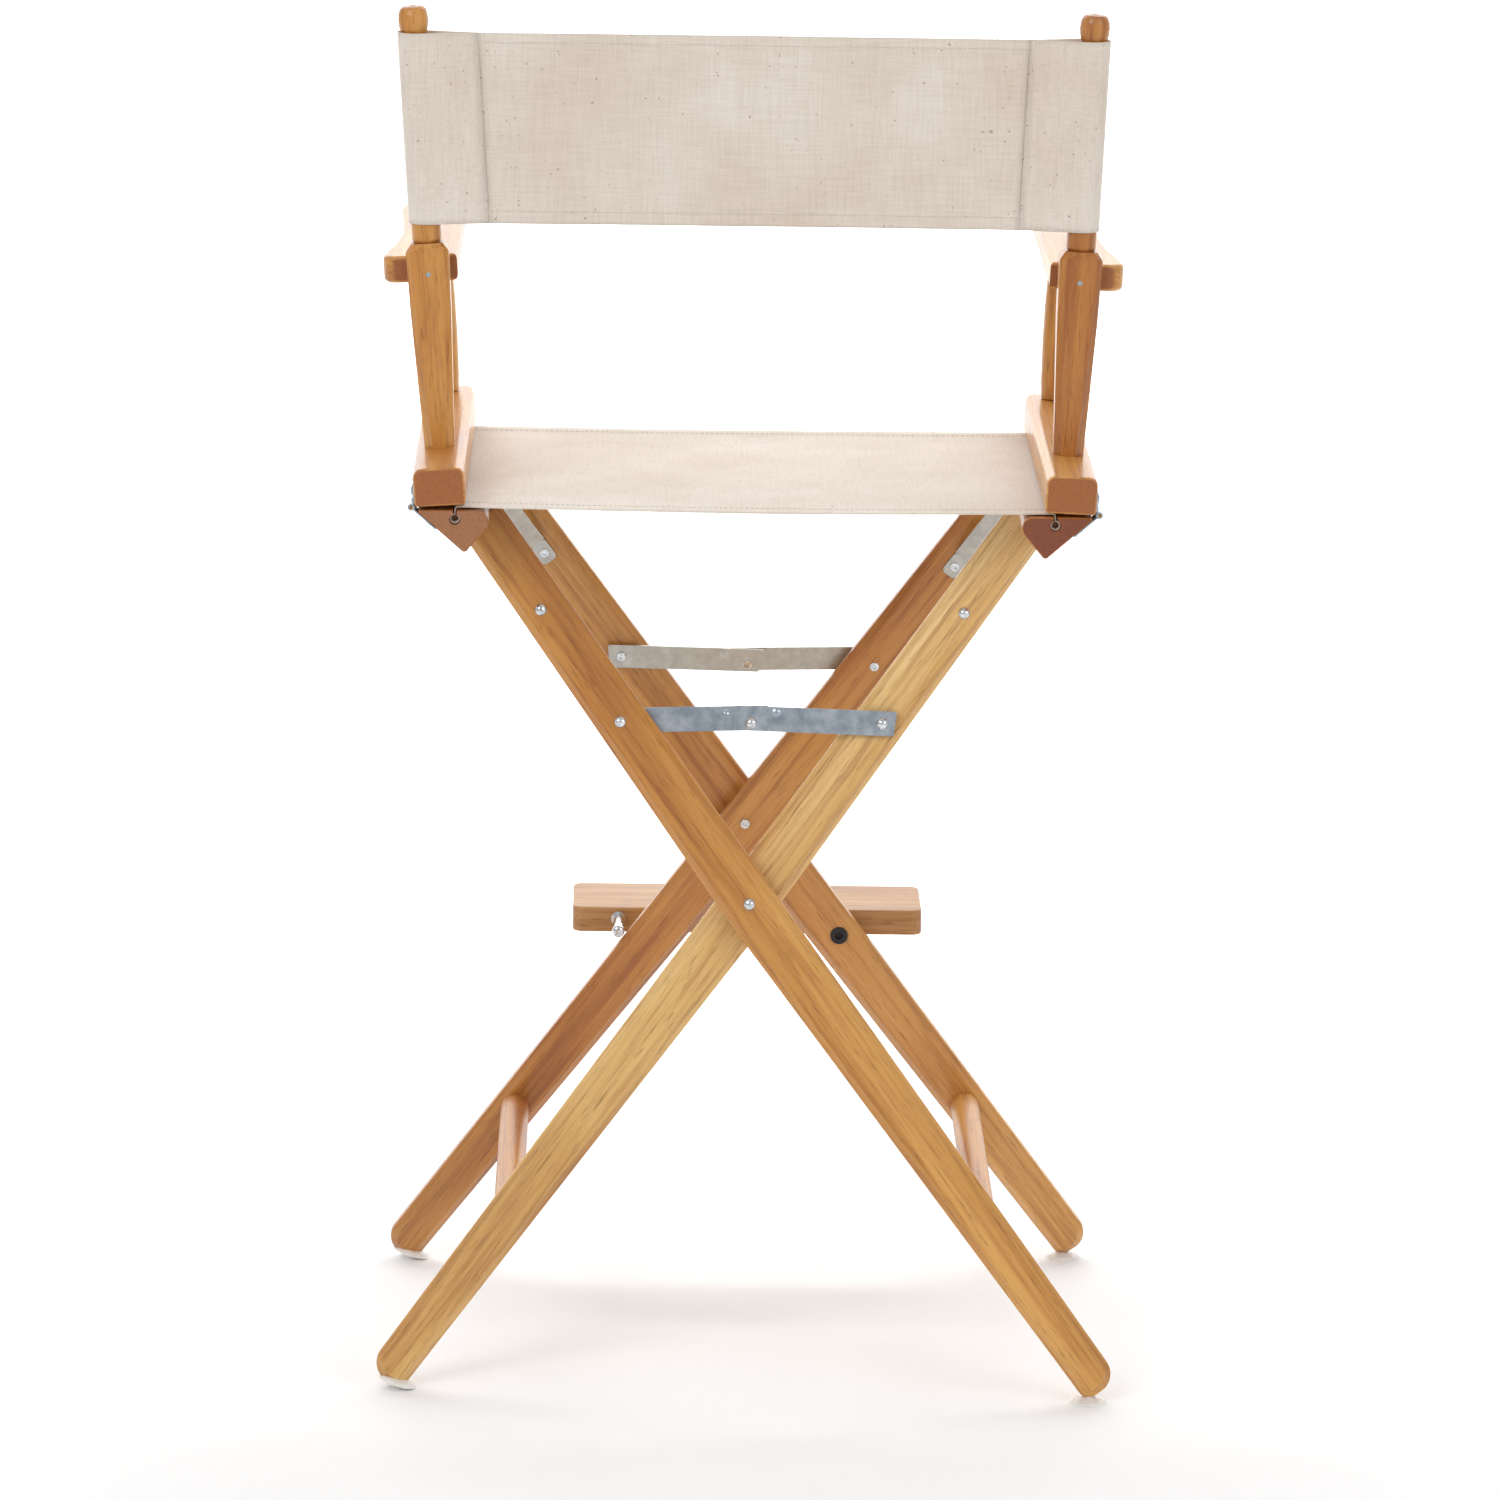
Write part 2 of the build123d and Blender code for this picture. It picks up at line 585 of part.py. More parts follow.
def back_centre(hand, z):
    """Middle of the upper post at height z."""
    a = radians(LEAN[hand])
    up = (z - HINGE_Z - POST_X * -sin(a)) / cos(a)
    return hand * (HINGE_X + POST_X * cos(a) + up * sin(a))


def back_canvas():
    """Sling with a sleeve round each upper post."""
    lower, upper = BACK_LOW, BACK_TOP
    r_out = UPPER_R + 0.6 + CANVAS_T
    r_in = UPPER_R + 0.6

    def slab(z):
        left = (back_centre(1, z), REAR_POST_Y)
        right = (back_centre(-1, z), REAR_POST_Y)
        return left, right

    shapes = []
    for r in (r_out, r_in):
        sections = []
        for z in (lower, upper):
            left, right = slab(z)
            sections.append((left, right))
        posts = []
        for k in (0, 1):
            a, b = sections[0][k], sections[1][k]
            base = Plane(origin=(a[0], a[1], lower), z_dir=(0, 0, 1))
            top = Plane(origin=(b[0], b[1], upper), z_dir=(0, 0, 1))
            posts.append(loft([base * make_face(Circle(r).edge()), top * make_face(Circle(r).edge())]))
        shapes.append(posts)
    outer, inner = shapes
    y_face = REAR_POST_Y - r_out + CANVAS_T / 2
    (l0, r0), (l1, r1) = slab(lower), slab(upper)
    panel_pts = [(r0[0], lower), (l0[0], lower), (l1[0], upper), (r1[0], upper)]
    body = plate(panel_pts, y_face - CANVAS_T / 2, y_face + CANVAS_T / 2)
    seam = 52.0
    for k, hand in ((0, 1), (1, -1)):
        a0, a1 = (l0, l1) if k == 0 else (r0, r1)
        flap = [
            (a0[0] - hand * 3, REAR_POST_Y + r_out), (a0[0] - hand * 3, REAR_POST_Y + r_in),
            (a0[0] - hand * seam, y_face - CANVAS_T / 2), (a0[0] - hand * seam, y_face + CANVAS_T * 1.5),
        ]
        low_face = Pos(0, 0, lower) * make_face(Polyline(*flap, close=True))
        shift = a1[0] - a0[0]
        high_face = Pos(shift, 0, upper) * make_face(Polyline(*flap, close=True))
        body += loft([low_face, high_face])
        body += outer[k]
    for k in (0, 1):
        body -= inner[k]
    return body


# ---------------------------------------------------------------- footrest
def footrest_board():
    x = sum(BOARD_X) / 2
    y = sum(BOARD_Y) / 2
    z = sum(BOARD_Z) / 2
    body = Pos(x, y, z) * Box(BOARD_X[1] - BOARD_X[0], BOARD_Y[1] - BOARD_Y[0], BOARD_Z[1] - BOARD_Z[0])
    body = fillet(body.edges().filter_by(Axis.Z), 8.0)
    body = fillet(body.faces().filter_by(Axis.Z).edges(), 2.0)
    body -= rod(BOLT_X, BOLT_Z, BOLT_R + RUN, BOARD_Y[1] - 45.0, BOARD_Y[1] + 1)
    body -= rod(PIN_X, PIN_Z, 4.0, BOARD_Y[1] - 20.0, BOARD_Y[1] + 1)
    return body


def footrest_bolt():
    """Socket bolt through the front outer leg; its head sits in the leg's inner face."""
    z_off = (CROSS_Z - BOLT_Z) * tan(radians(SPLAY))
    y_leg = -(OUTER_Y + z_off)
    y_head = y_leg + LEG_T / 2 / cos(radians(SPLAY)) + 1.6
    body = rod(BOLT_X, BOLT_Z, BOLT_R, y_head - 4, BOARD_Y[1] - 44.0)
    body += rod(BOLT_X, BOLT_Z, 7.4, y_head, y_head - 5.0)
    body -= rod(BOLT_X, BOLT_Z, 3.4, y_head + 1, y_head - 3.6)
    body += rod(BOLT_X, BOLT_Z, 8.0, BOARD_Y[1] + 0.3, y_leg - LEG_T / 2 / cos(radians(SPLAY)) + 0.0)
    return body


def footrest_pin():
    """Chrome stop pin that bears on the edge of the front inner leg."""
    y0 = BOARD_Y[1]
    tip = y0 + 53.0
    body = rod(PIN_X, PIN_Z, 4.0, y0 - 19.0, y0)
    body += rod(PIN_X, PIN_Z, 6.3, y0, y0 + 4.0)
    body += rod(PIN_X, PIN_Z, 4.4, y0 + 4.0, tip - 12.0)
    head = rod(PIN_X, PIN_Z, PIN_R, tip - 13.0, tip)
    head = fillet(head.edges().filter_by(GeomType.CIRCLE).sort_by(Axis.Y)[-1], 4.0)
    return body + head


# ---------------------------------------------------------------- build and write every node
FRAMES = {1: "outer", -1: "inner"}
ENDS = {1: "rear", -1: "front"}
HANDS = {1: "left", -1: "right"}

for top, frame_name in FRAMES.items():
    for side, end_name in ENDS.items():
        one = leg(top, side)
        if top > 0 and side < 0:
            one -= footrest_bolt()
        save(one, f"leg_{frame_name}_{end_name}")
        strap = brace(top, side) - one - brace_screw(top, side)
        save(max(strap.solids(), key=lambda solid: solid.volume), f"brace_{frame_name}_{end_name}")
        save(bar(top, side), f"spreader_{frame_name}_{end_name}")
        save(centre_rivet(top, side), f"centre_rivet_{frame_name}_{end_name}")
    save(stretcher(top), f"stretcher_{frame_name}")
    save(leg_rivets(top), f"rivets_{frame_name}")
    save([brace_screw(top, s) for s in ENDS], f"brace_screws_{frame_name}")
    save([glide(top, s) for s in ENDS], f"glides_{frame_name}")

for side, end_name in ENDS.items():
    save(pivot_rivet(side), f"pivot_{end_name}")

for hand, hand_name in HANDS.items():
    put = on_side(hand)

    def flip(shape, hand=hand):
        return shape if hand > 0 else shape.mirror(Plane.YZ)

    bearer = block(1)
    for hole in block_screw_holes():
        bearer -= hole
    bearer = flip(bearer)
    for side in ENDS:
        bearer -= brace_screw(hand, side)
    save(bearer, f"seat_block_{hand_name}")
    save(put(rail()), f"rail_{hand_name}")
    save(put(lower_post()), f"rear_post_{hand_name}")
    save(put(upper_post()), f"back_post_{hand_name}")
    save(put(front_post()), f"front_post_{hand_name}")
    save(put(arm()), f"arm_{hand_name}")
    save(put(arm_screw()), f"arm_screw_{hand_name}")
    save([put(rail_leaf(y)) for y in HINGE_Y], f"hinge_rail_{hand_name}")
    save([put(s) for y in HINGE_Y for s in rail_screws(y)], f"screws_rail_{hand_name}")
    save([flip(block_leaf(y)) for y in HINGE_Y], f"hinge_block_{hand_name}")
    save([flip(s) for y in HINGE_Y for s in block_screws(y)], f"screws_block_{hand_name}")
    save([flip(hinge_pin(y)) for y in HINGE_Y], f"hinge_pins_{hand_name}")
    save(seat_rod(hand), f"seat_rod_{hand_name}")

save(seat_canvas(), "seat_canvas")
save(back_canvas(), "back_canvas")
save(footrest_board(), "footrest_board")
save(footrest_bolt(), "footrest_bolt")
save(footrest_pin(), "footrest_pin")
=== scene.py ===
"""Looks of the folding director chair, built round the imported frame. Metres, +Z up."""
import math

import bpy
import numpy as np
from mathutils import Matrix, Vector


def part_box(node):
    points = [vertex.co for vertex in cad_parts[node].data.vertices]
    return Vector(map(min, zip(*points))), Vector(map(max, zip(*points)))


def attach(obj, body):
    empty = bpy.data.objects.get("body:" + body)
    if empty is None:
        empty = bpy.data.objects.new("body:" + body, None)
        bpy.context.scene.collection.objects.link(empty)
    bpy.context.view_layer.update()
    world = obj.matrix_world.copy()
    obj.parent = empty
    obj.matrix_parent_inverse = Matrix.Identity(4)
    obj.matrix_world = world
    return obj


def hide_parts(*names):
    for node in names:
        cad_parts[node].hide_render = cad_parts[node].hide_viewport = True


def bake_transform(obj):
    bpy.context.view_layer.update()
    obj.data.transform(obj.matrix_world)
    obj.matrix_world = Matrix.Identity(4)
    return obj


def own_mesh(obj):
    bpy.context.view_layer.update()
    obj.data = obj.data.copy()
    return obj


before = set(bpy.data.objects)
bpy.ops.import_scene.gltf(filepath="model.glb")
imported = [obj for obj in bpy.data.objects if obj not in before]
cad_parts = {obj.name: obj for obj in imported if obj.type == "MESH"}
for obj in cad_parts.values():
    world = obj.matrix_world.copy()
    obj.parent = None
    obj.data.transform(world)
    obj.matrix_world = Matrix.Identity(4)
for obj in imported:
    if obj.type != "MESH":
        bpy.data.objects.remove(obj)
bpy.context.scene.view_settings.view_transform = "Standard"
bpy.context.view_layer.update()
LEFT, RIGHT = "left_side", "right_side"
SIGN = {"left": 1, "right": -1}  # the left hand is on +X
LEAN = {"left": math.radians(3.9), "right": math.radians(2.3)}  # outward lean of each side's posts
CLOTH = 0.0011  # thickness of the canvas
HEM = 0.0007  # extra height over a turned hem


# ---------------------------------------------------------------- materials
def new_material(name):
    material = bpy.data.materials.new(name)
    material.use_nodes = True
    tree = material.node_tree
    return material, tree.nodes, tree.links, tree.nodes["Principled BSDF"]


def ramp(nodes, stops):
    node = nodes.new("ShaderNodeValToRGB")
    elements = node.color_ramp.elements
    while len(elements) < len(stops):
        elements.new(0.5)
    for element, (place, colour) in zip(elements, stops):
        element.position = place
        element.color = (*srgb(colour), 1)
    return node


def srgb(text):
    """Linear colour from a #rrggbb string."""
    values = [int(text[i : i + 2], 16) / 255 for i in (1, 3, 5)]
    return [v / 12.92 if v <= 0.04045 else ((v + 0.055) / 1.055) ** 2.4 for v in values]


def coordinates(nodes, links, scale, rotation=(0, 0, 0)):
    where = nodes.new("ShaderNodeTexCoord")
    mapping = nodes.new("ShaderNodeMapping")
    mapping.inputs["Scale"].default_value = scale
    mapping.inputs["Rotation"].default_value = rotation
    links.new(where.outputs["Object"], mapping.inputs["Vector"])
    return mapping


def noise(nodes, links, vector, scale, detail=4.0, rough=0.55, distortion=0.0):
    node = nodes.new("ShaderNodeTexNoise")
    node.inputs["Scale"].default_value = scale
    node.inputs["Detail"].default_value = detail
    node.inputs["Roughness"].default_value = rough
    node.inputs["Distortion"].default_value = distortion
    links.new(vector, node.inputs["Vector"])
    return node


def mix(nodes, links, a, b, factor, blend="MIX"):
    node = nodes.new("ShaderNodeMix")
    node.data_type = "RGBA"
    node.blend_type = blend
    for socket, value in ((node.inputs["Factor"], factor), (node.inputs["A"], a), (node.inputs["B"], b)):
        if isinstance(value, (int, float)):
            socket.default_value = value
        elif isinstance(value, str):
            socket.default_value = (*srgb(value), 1)
        else:
            links.new(value, socket)
    return node.outputs["Result"]


def wood(name, grain, light="#E0B066", mid="#CF9648", dark="#B0743A", end="#A5622A", end_dark="#83481C",
         coat=0.30, rough=0.38, seed=0.0):
    """Varnished wood whose grain runs along a direction in the row frame."""
    material, nodes, links, shader = new_material(name)
    turn = Vector((0, 0, 1)).rotation_difference(Vector(grain).normalized()).inverted().to_euler()
    where = nodes.new("ShaderNodeTexCoord")
    aligned = nodes.new("ShaderNodeMapping")
    aligned.inputs["Rotation"].default_value = turn
    aligned.inputs["Location"].default_value = (seed, seed * 0.7, seed * 0.3)
    links.new(where.outputs["Object"], aligned.inputs["Vector"])

    def along(factor):
        stretch = nodes.new("ShaderNodeMapping")
        stretch.inputs["Scale"].default_value = (1, 1, factor)
        links.new(aligned.outputs["Vector"], stretch.inputs["Vector"])
        return stretch.outputs["Vector"]

    broad = noise(nodes, links, along(0.05), 30, 3, 0.5, 0.5)
    streak = noise(nodes, links, along(0.035), 190, 5, 0.62, 0.3)
    pores = noise(nodes, links, along(0.05), 900, 2, 0.5)
    patch = noise(nodes, links, along(0.4), 7, 2, 0.5)
    tone = ramp(nodes, [(0.28, dark), (0.47, mid), (0.72, light)])
    links.new(broad.outputs["Fac"], tone.inputs["Fac"])
    fine = ramp(nodes, [(0.34, "#B98A5C"), (0.52, "#F3E6D2"), (0.75, "#FFFFFF")])
    links.new(streak.outputs["Fac"], fine.inputs["Fac"])
    colour = mix(nodes, links, tone.outputs["Color"], fine.outputs["Color"], 0.62, "MULTIPLY")
    pore = ramp(nodes, [(0.30, "#6E4522"), (0.40, "#FFFFFF")])
    links.new(pores.outputs["Fac"], pore.inputs["Fac"])
    colour = mix(nodes, links, colour, pore.outputs["Color"], 0.45, "MULTIPLY")
    shade = ramp(nodes, [(0.35, "#E9D2B4"), (0.6, "#FFFFFF")])
    links.new(patch.outputs["Fac"], shade.inputs["Fac"])
    colour = mix(nodes, links, colour, shade.outputs["Color"], 0.8, "MULTIPLY")
    # end grain
    dot = nodes.new("ShaderNodeVectorMath")
    dot.operation = "DOT_PRODUCT"
    dot.inputs[1].default_value = Vector(grain).normalized()
    links.new(where.outputs["Normal"], dot.inputs[0])
    size = nodes.new("ShaderNodeMath")
    size.operation = "ABSOLUTE"
    links.new(dot.outputs["Value"], size.inputs[0])
    gate = nodes.new("ShaderNodeMapRange")
    gate.inputs["From Min"].default_value = 0.82
    gate.inputs["From Max"].default_value = 0.95
    links.new(size.outputs[0], gate.inputs["Value"])
    speck = noise(nodes, links, where.outputs["Object"], 1100, 3, 0.6)
    ends = ramp(nodes, [(0.30, end_dark), (0.6, end)])
    links.new(speck.outputs["Fac"], ends.inputs["Fac"])
    colour = mix(nodes, links, colour, ends.outputs["Color"], gate.outputs["Result"])
    links.new(colour, shader.inputs["Base Color"])
    gloss = nodes.new("ShaderNodeMapRange")
    gloss.inputs["To Min"].default_value = rough - 0.06
    gloss.inputs["To Max"].default_value = rough + 0.10
    links.new(streak.outputs["Fac"], gloss.inputs["Value"])
    links.new(gloss.outputs["Result"], shader.inputs["Roughness"])
    shader.inputs["Coat Weight"].default_value = coat
    shader.inputs["Coat Roughness"].default_value = 0.16
    bump = nodes.new("ShaderNodeBump")
    bump.inputs["Strength"].default_value = 0.16
    bump.inputs["Distance"].default_value = 0.0004
    links.new(streak.outputs["Fac"], bump.inputs["Height"])
    links.new(bump.outputs["Normal"], shader.inputs["Normal"])
    return material


def metal(name, dark, light, low, high, scale=140, metallic=1.0, bump_strength=0.05):
    """Metal with mottled colour and uneven polish."""
    material, nodes, links, shader = new_material(name)
    where = coordinates(nodes, links, (1, 1, 1))
    cloud = noise(nodes, links, where.outputs["Vector"], scale, 5, 0.65)
    colour = ramp(nodes, [(0.35, dark), (0.65, light)])
    links.new(cloud.outputs["Fac"], colour.inputs["Fac"])
    links.new(colour.outputs["Color"], shader.inputs["Base Color"])
    gloss = nodes.new("ShaderNodeMapRange")
    gloss.inputs["To Min"].default_value = low
    gloss.inputs["To Max"].default_value = high
    links.new(cloud.outputs["Fac"], gloss.inputs["Value"])
    links.new(gloss.outputs["Result"], shader.inputs["Roughness"])
    shader.inputs["Metallic"].default_value = metallic
    bump = nodes.new("ShaderNodeBump")
    bump.inputs["Strength"].default_value = bump_strength
    bump.inputs["Distance"].default_value = 0.0002
    links.new(cloud.outputs["Fac"], bump.inputs["Height"])
    links.new(bump.outputs["Normal"], shader.inputs["Normal"])
    return material


def canvas_material(name, light, dark, warp, weft):
    """Plain weave in the plane of the two axes (0 = x, 1 = y, 2 = z), with slubs and seed flecks."""
    material, nodes, links, shader = new_material(name)
    where = coordinates(nodes, links, (1, 1, 1)).outputs["Vector"]
    heights = []
    slubs = []
    for axis, other in ((warp, weft), (weft, warp)):
        wave = nodes.new("ShaderNodeTexWave")
        wave.wave_type = "BANDS"
        wave.bands_direction = "XYZ"[axis]
        wave.inputs["Scale"].default_value = 380
        wave.inputs["Distortion"].default_value = 0.5
        wave.inputs["Detail"].default_value = 2
        wave.inputs["Detail Scale"].default_value = 1.5
        links.new(where, wave.inputs["Vector"])
        heights.append(wave.outputs["Fac"])
        scale = [1.0, 1.0, 1.0]
        scale[other] = 0.05
        stretch = nodes.new("ShaderNodeMapping")
        stretch.inputs["Scale"].default_value = scale
        links.new(where, stretch.inputs["Vector"])
        slubs.append(noise(nodes, links, stretch.outputs["Vector"], 620, 3, 0.6).outputs["Fac"])
    weave = nodes.new("ShaderNodeMath")
    weave.operation = "MULTIPLY"
    links.new(heights[0], weave.inputs[0])
    links.new(heights[1], weave.inputs[1])
    thread = nodes.new("ShaderNodeMath")
    thread.operation = "ADD"
    links.new(slubs[0], thread.inputs[0])
    links.new(slubs[1], thread.inputs[1])
    tone = ramp(nodes, [(0.36, dark), (0.62, light)])
    half = nodes.new("ShaderNodeMath")
    half.operation = "MULTIPLY"
    half.inputs[1].default_value = 0.5
    links.new(thread.outputs[0], half.inputs[0])
    links.new(half.outputs[0], tone.inputs["Fac"])
    specks = noise(nodes, links, where, 260, 2, 0.5)
    fleck = ramp(nodes, [(0.26, "#A58F74"), (0.30, "#FFFFFF")])
    links.new(specks.outputs["Fac"], fleck.inputs["Fac"])
    colour = mix(nodes, links, tone.outputs["Color"], fleck.outputs["Color"], 0.7, "MULTIPLY")
    cloud = noise(nodes, links, where, 9, 3, 0.5)
    soft = ramp(nodes, [(0.3, "#F1ECE6"), (0.7, "#FFFFFF")])
    links.new(cloud.outputs["Fac"], soft.inputs["Fac"])
    colour = mix(nodes, links, colour, soft.outputs["Color"], 1.0, "MULTIPLY")
    links.new(colour, shader.inputs["Base Color"])
    shader.inputs["Roughness"].default_value = 0.92
    shader.inputs["Sheen Weight"].default_value = 0.25
    shader.inputs["Sheen Roughness"].default_value = 0.6
    total = nodes.new("ShaderNodeMath")
    total.operation = "ADD"
    links.new(weave.outputs[0], total.inputs[0])
    links.new(thread.outputs[0], total.inputs[1])
    bump = nodes.new("ShaderNodeBump")
    bump.inputs["Strength"].default_value = 0.5
    bump.inputs["Distance"].default_value = 0.0004
    links.new(total.outputs[0], bump.inputs["Height"])
    links.new(bump.outputs["Normal"], shader.inputs["Normal"])
    return material


LEG_A = math.radians(35.92)
SPLAY = math.radians(8.16)


def leg_grain(top, side):
    """Direction of a leg, from its lean in x and its splay in y."""
    rise = math.cos(LEG_A)
    return (top * math.sin(LEG_A), -side * rise * math.sin(SPLAY), rise * math.cos(SPLAY))


BLOCK_TONES = {
    "left": dict(light="#C0895A", mid="#A9744A", dark="#8A5733", end="#A66E46", end_dark="#8A5733"),
    "right": dict(light="#D29A55", mid="#BC7F40", dark="#9A5F2E", end="#86431D", end_dark="#682F12"),
}
# Wood tones per leg, part wood colour and part painted light: each leg's copy of the wood is lighter or
# darker for the light and shade that fall on it, and the inner rear legs are painted much paler.
LEG_TONES_AND_PAINTED_LIGHT = {
    ("outer", "rear"): dict(light="#E0AE62", mid="#CF994D", dark="#B17936"),
    ("inner", "rear"): dict(light="#F2D8A0", mid="#E5C07E", dark="#CA9A58"),
    ("outer", "front"): dict(light="#DEAC66", mid="#CB9753", dark="#AD783D"),
    ("inner", "front"): dict(light="#D6A25A", mid="#C38B48", dark="#A06A32"),
}
chrome = metal("chrome", "#B9BCC0", "#EDEFF2", 0.10, 0.24, 300, 1.0, 0.03)
zinc = metal("zinc", "#97A3AF", "#C3CBD3", 0.24, 0.38, 85, 1.0, 0.02)
grey_steel = metal("grey_steel", "#B4B3AD", "#C8C7C1", 0.34, 0.48, 120, 1.0, 0.02)
brass = metal("brass", "#8E6A32", "#C79A55", 0.25, 0.42, 220)
black = metal("black_steel", "#0B0B0C", "#1B1B1D", 0.35, 0.50, 240, 0.0)
glide = metal("glide_plastic", "#DEDAD3", "#EFECE7", 0.30, 0.45, 120, 0.0)
glide.node_tree.nodes["Principled BSDF"].inputs["Subsurface Weight"].default_value = 0.15
glide.node_tree.nodes["Principled BSDF"].inputs["Subsurface Scale"].default_value = 0.004
seat_cloth = canvas_material("canvas_seat", "#ECE2D8", "#E0D5C9", 0, 1)
back_cloth = canvas_material("canvas_back", "#EAE0D6", "#DED2C6", 0, 2)
thread = metal("thread", "#D5CABB", "#F2ECE3", 0.75, 0.90, 900, 0.0)


def paint(node, material):
    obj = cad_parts[node]
    obj.data.materials.clear()
    obj.data.materials.append(material)


for top, word in ((1, "outer"), (-1, "inner")):
    for side, end in ((1, "rear"), (-1, "front")):
        leg_wood = wood(f"wood_leg_{word}_{end}", leg_grain(top, side), seed=0.31 * top + 0.17 * side,
                        **LEG_TONES_AND_PAINTED_LIGHT[word, end])
        paint(f"leg_{word}_{end}", leg_wood)
        paint(f"spreader_{word}_{end}", zinc if end == "rear" else grey_steel)
        paint(f"centre_rivet_{word}_{end}", chrome)
        paint(f"brace_{word}_{end}", grey_steel)
    dowel_wood = wood(f"wood_stretcher_{word}", (0, 1, 0), coat=0.15, rough=0.45, seed=0.5 * top)
    paint(f"stretcher_{word}", dowel_wood)
    paint(f"rivets_{word}", chrome)
    paint(f"brace_screws_{word}", zinc)
    paint(f"glides_{word}", glide)
for node in ("pivot_rear", "pivot_front", "footrest_pin"):
    paint(node, chrome)
paint("footrest_bolt", black)
board_wood = wood("wood_board", (1, 0, 0), light="#D2AC78", mid="#C29B6A", dark="#A98050", end="#A06A38",
                  coat=0.15, rough=0.5, seed=0.9)
paint("footrest_board", board_wood)
for hand, seed in (("left", 0.11), ("right", 0.43)):
    lean = SIGN[hand] * LEAN[hand]
    up = (math.sin(lean), 0, math.cos(lean))
    paint(f"seat_block_{hand}", wood(f"wood_block_{hand}", (0, 1, 0), seed=seed, **BLOCK_TONES[hand]))
    paint(f"rail_{hand}", wood(f"wood_rail_{hand}", (0, 1, 0), seed=seed + 1))
    paint(f"arm_{hand}", wood(f"wood_arm_{hand}", (0, 1, 0), seed=seed + 2))
    for node in ("rear_post", "back_post", "front_post"):
        paint(f"{node}_{hand}", wood(f"wood_{node}_{hand}", up, seed=seed + 0.5))
    for node in ("arm_screw", "hinge_rail", "screws_rail", "hinge_block", "screws_block"):
        paint(f"{node}_{hand}", zinc)
    paint(f"hinge_pins_{hand}", brass)
    paint(f"seat_rod_{hand}", wood(f"wood_rod_{hand}", (0, 1, 0), seed=seed + 3))


# ---------------------------------------------------------------- cloth
def mesh_from(name, points, faces, material):
    mesh = bpy.data.meshes.new(name)
    mesh.from_pydata([tuple(p) for p in points], [], faces)
    mesh.materials.append(material)
    mesh.update()
    obj = bpy.data.objects.new(name, mesh)
    bpy.context.scene.collection.objects.link(obj)
    for face in mesh.polygons:
        face.use_smooth = True
    return obj


def grid(name, rows, material):
    """Quad mesh through rows of points, all of the same length."""
    wide = len(rows[0])
    points = [p for row in rows for p in row]
    faces = []
    for i in range(len(rows) - 1):
        for j in range(wide - 1):
            a = i * wide + j
            faces.append((a, a + 1, a + wide + 1, a + wide))
    return mesh_from(name, points, faces, material)


def thicken(obj):
    solid = obj.modifiers.new("cloth", "SOLIDIFY")
    solid.thickness = CLOTH
    solid.offset = 0.0
    return obj


def stitches(name, lines, material, pitch=0.0042, length=0.0029, r=0.00038):
    """Dashes of thread along polylines, each line a (function of 0..1, length) pair with its normal."""
    points = []
    faces = []
    for path, total, normal in lines:
        count = max(2, int(total / pitch))
        n = Vector(normal).normalized()
        for k in range(count):
            a = Vector(path((k + 0.15) / count))
            b = Vector(path((k + 0.15 + length / pitch) / count))
            along = (b - a).normalized()
            across = along.cross(n) * r
            base = len(points)
            for p, lift in ((a, 0.1), (a * 0.75 + b * 0.25, 1.0), (a * 0.25 + b * 0.75, 1.0), (b, 0.1)):
                points.extend([p - across, p + across, p + n * r * 1.6 * lift])
            for s in range(3):
                o = base + 3 * s
                faces.append((o, o + 3, o + 5, o + 2))
                faces.append((o + 1, o + 2, o + 5, o + 4))
                faces.append((o, o + 1, o + 4, o + 3))
            faces.extend([(base, base + 2, base + 1), (base + 9, base + 10, base + 11)])
    return mesh_from(name, points, faces, material)


# seat: tight panel that turns down through the slots at both sides and loops round the rods
seat_low, seat_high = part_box("seat_canvas")
rod_left = sum((Vector(c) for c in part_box("seat_rod_left")), Vector()) / 2
rod_right = sum((Vector(c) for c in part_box("seat_rod_right")), Vector()) / 2
seat_z = seat_high[2] - 0.0006
LOOP_R = 0.0036


def turned_hem(near, width):
    """Extra height over a hem of this width, at a distance from the cloth's nearest edge."""
    return HEM * (1 - min(max((near - width) / 0.002, 0), 1))


def seat_height(t, y):
    """Top of the seat cloth, a share t of the way from the left rod to the right one."""
    sag = -0.0016 * math.sin(math.pi * t) * (1 + 0.3 * math.sin(9 * y))
    ripple = 0.00022 * math.sin(60 * y + 7 * t) * math.sin(math.pi * t)
    return seat_z + sag + ripple + turned_hem(min(y - seat_low[1], seat_high[1] - y), 0.019)


def loop_point(rod, sign, y, degrees):
    """Point where the cloth goes round a rod, at an angle up from the rod's outer side."""
    t = math.radians(degrees)
    return rod.x + sign * LOOP_R * math.cos(t), y, rod.z + LOOP_R * math.sin(t)


def seat_row(y):
    row = [loop_point(rod_left, 1, y, t) for t in range(-240, 91, 30)]
    row.append((rod_left.x, y, seat_z - 0.0015))
    steps = 64
    for k in range(steps + 1):
        t = k / steps
        x = (rod_left.x - 0.0012) * (1 - t) + (rod_right.x + 0.0012) * t
        row.append((x, y, seat_height(t, y)))
    row.append((rod_right.x, y, seat_z - 0.0015))
    row += [loop_point(rod_right, -1, y, t) for t in range(90, -241, -30)]
    return row


seat_ys = np.concatenate([
    np.linspace(seat_low[1], seat_low[1] + 0.024, 9),
    np.linspace(seat_low[1] + 0.03, seat_high[1] - 0.03, 40),
    np.linspace(seat_high[1] - 0.024, seat_high[1], 9),
])
seat = thicken(grid("seat_cloth", [seat_row(float(y)) for y in seat_ys], seat_cloth))


def seat_line(y):
    left, right = rod_left.x - 0.004, rod_right.x + 0.004

    def path(t):
        return left * (1 - t) + right * t, y, seat_height(t, y) + 0.0006

    return path, left - right, (0, 0, 1)


